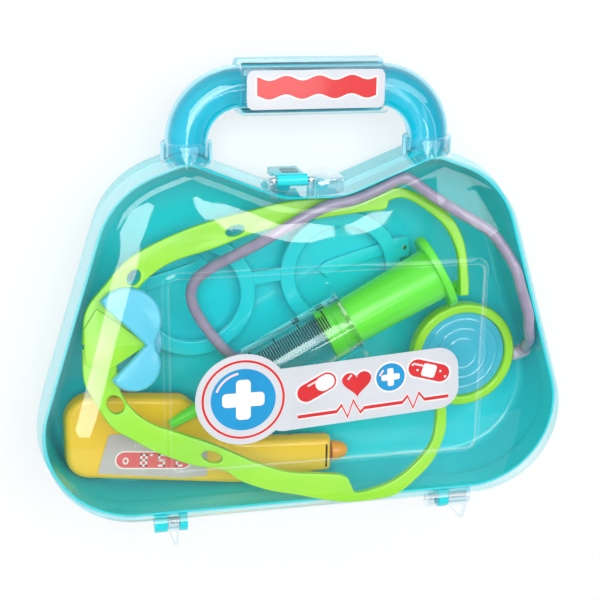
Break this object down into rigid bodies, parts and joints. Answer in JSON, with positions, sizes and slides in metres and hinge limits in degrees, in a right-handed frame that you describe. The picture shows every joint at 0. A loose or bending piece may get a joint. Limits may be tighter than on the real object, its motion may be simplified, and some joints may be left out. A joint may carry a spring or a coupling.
{
  "type": "toy doctor case",
  "caption": "Toy doctor case with clear hinged lid, latch and carry handle, holding a stethoscope, syringe, thermometer and folded glasses.",
  "frame": {"origin": "centre of the case's box, on the outer face of its back, on which it lies", "axes": "+X to the right, +Y towards the carry handle, +Z out of the clear lid"},
  "size_m": [0.2478, 0.2278, 0.0534],
  "materials": {
    "teal_polystyrene": "glossy, slightly translucent",
    "clear_polystyrene": "clear, glossy",
    "steel_pin": "plain",
    "silver_film": "printed silver film",
    "lime_plastic": "glossy",
    "bright_green_plastic": "glossy",
    "light_blue_plastic": "glossy",
    "lavender_hose": "soft, satin",
    "blue_diaphragm": "translucent, glossy",
    "orange_plastic": "glossy",
    "yellow_plastic": "glossy"
  },
  "bodies": {
    "case": {"back_shell": "teal_polystyrene", "hinge_pin_left": "steel_pin", "hinge_pin_right": "steel_pin", "headset_arm_upper": "lime_plastic", "headset_arm_lower": "lime_plastic", "yoke_front": "light_blue_plastic", "yoke_back": "light_blue_plastic", "yoke_wedge": "lime_plastic", "ear_tip_upper": "bright_green_plastic", "ear_tip_lower": "bright_green_plastic", "hose": "lavender_hose", "chest_body": "light_blue_plastic", "chest_ring": "lime_plastic", "chest_diaphragm": "blue_diaphragm", "chest_stem": "lavender_hose", "syringe_barrel": "clear_polystyrene", "syringe_nozzle": "bright_green_plastic", "thermometer_back": "orange_plastic", "thermometer_front": "yellow_plastic", "thermometer_tip": "orange_plastic", "thermometer_label": "silver_film", "glasses_frame": "teal_polystyrene", "temple_left": "teal_polystyrene", "temple_right": "teal_polystyrene", "temple_pin_left": "steel_pin", "temple_pin_right": "steel_pin"},
    "lid": {"lid_shell": "clear_polystyrene", "latch_pin": "steel_pin", "lid_label": "silver_film", "grip_label": "silver_film"},
    "latch": {"latch_flap": "teal_polystyrene"},
    "plunger": {"syringe_plunger": "bright_green_plastic"}
  },
  "joints": [
    {"name": "lid_hinge", "type": "hinge", "parent": "case", "child": "lid", "pos_m": [0, -0.1014, 0.028], "axis": [1, 0, 0], "range_deg": [0, 110]},
    {"name": "latch_hinge", "type": "hinge", "parent": "lid", "child": "latch", "pos_m": [-0.0107, 0.0639, 0.0415], "axis": [1, 0, 0], "range_deg": [0, 100]},
    {"name": "plunger_slide", "type": "slide", "parent": "case", "child": "plunger", "axis": [-0.8813, -0.4726, 0], "range_m": [0, 0.036]}
  ]
}
